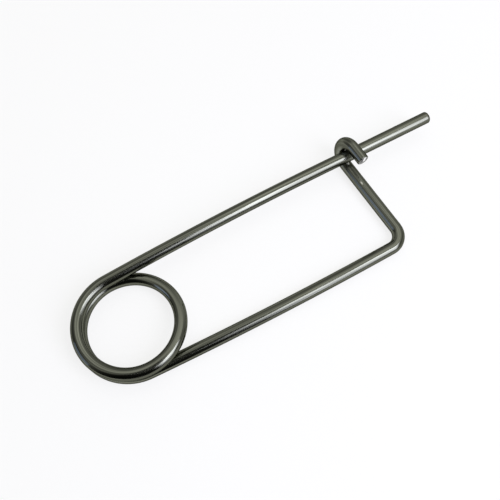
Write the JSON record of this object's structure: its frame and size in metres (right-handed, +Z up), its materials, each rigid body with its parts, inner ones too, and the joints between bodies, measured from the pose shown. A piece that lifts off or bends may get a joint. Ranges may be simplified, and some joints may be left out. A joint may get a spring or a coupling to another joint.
{
  "type": "safety pin",
  "caption": "Coiled wire safety pin: sprung pin leg with a free tip, spring coil eye, back leg and a hooked cross leg that latches over the pin leg.",
  "frame": {"origin": "the coil's axis, on the plane that the pin lies on", "axes": "+X from the coil along the legs towards the tip, +Y from the back leg towards the pin leg, +Z up along the coil's axis"},
  "size_m": [0.108, 0.0355, 0.0101],
  "materials": {
    "spring_wire": "bright drawn spring-steel wire with fine die lines along the wire"
  },
  "bodies": {
    "root": {"safety_pin": "spring_wire"}
  },
  "joints": []
}
